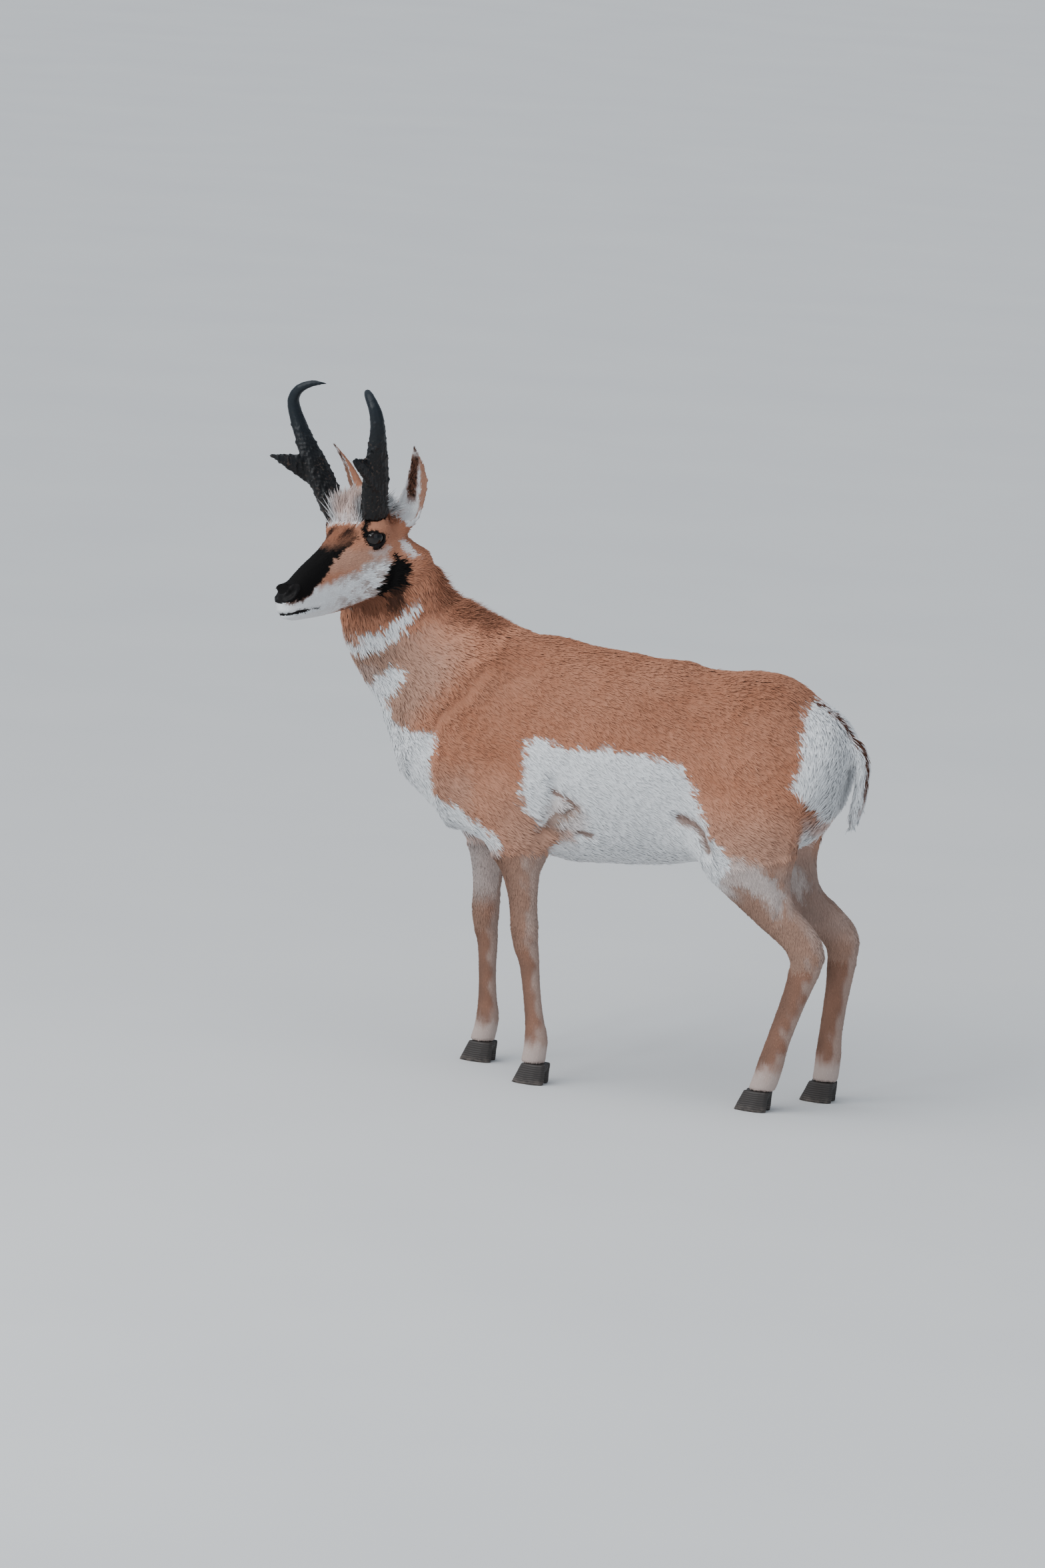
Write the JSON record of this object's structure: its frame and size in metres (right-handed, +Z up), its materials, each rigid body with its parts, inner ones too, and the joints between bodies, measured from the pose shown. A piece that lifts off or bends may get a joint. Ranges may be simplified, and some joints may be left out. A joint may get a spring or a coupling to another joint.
{
  "type": "pronghorn",
  "caption": "Life-size still model of a standing pronghorn buck with its head turned to one side.",
  "frame": {"origin": "centre of the bounding box in plan, on the floor under the soles", "axes": "+Z up, -X the way the animal faces, -Y its left side"},
  "size_m": [1.1924, 0.4576, 1.3202],
  "materials": {
    "coat": "matte",
    "leg_coat": "matte",
    "tail_coat": "matte",
    "horn": "satin",
    "hoof": "satin",
    "eye": "gloss"
  },
  "bodies": {
    "root": {"torso": "coat", "neck": "coat", "head": "coat", "tail": "tail_coat", "ear_left": "coat", "horn_left": "horn", "eye_left": "eye", "ear_right": "coat", "horn_right": "horn", "eye_right": "eye", "fore_left_upper": "coat", "fore_left_shin": "leg_coat", "fore_left_hoof": "hoof", "fore_right_upper": "coat", "fore_right_shin": "leg_coat", "fore_right_hoof": "hoof", "hind_left_upper": "coat", "hind_left_shin": "leg_coat", "hind_left_hoof": "hoof", "hind_right_upper": "coat", "hind_right_shin": "leg_coat", "hind_right_hoof": "hoof"}
  },
  "joints": []
}
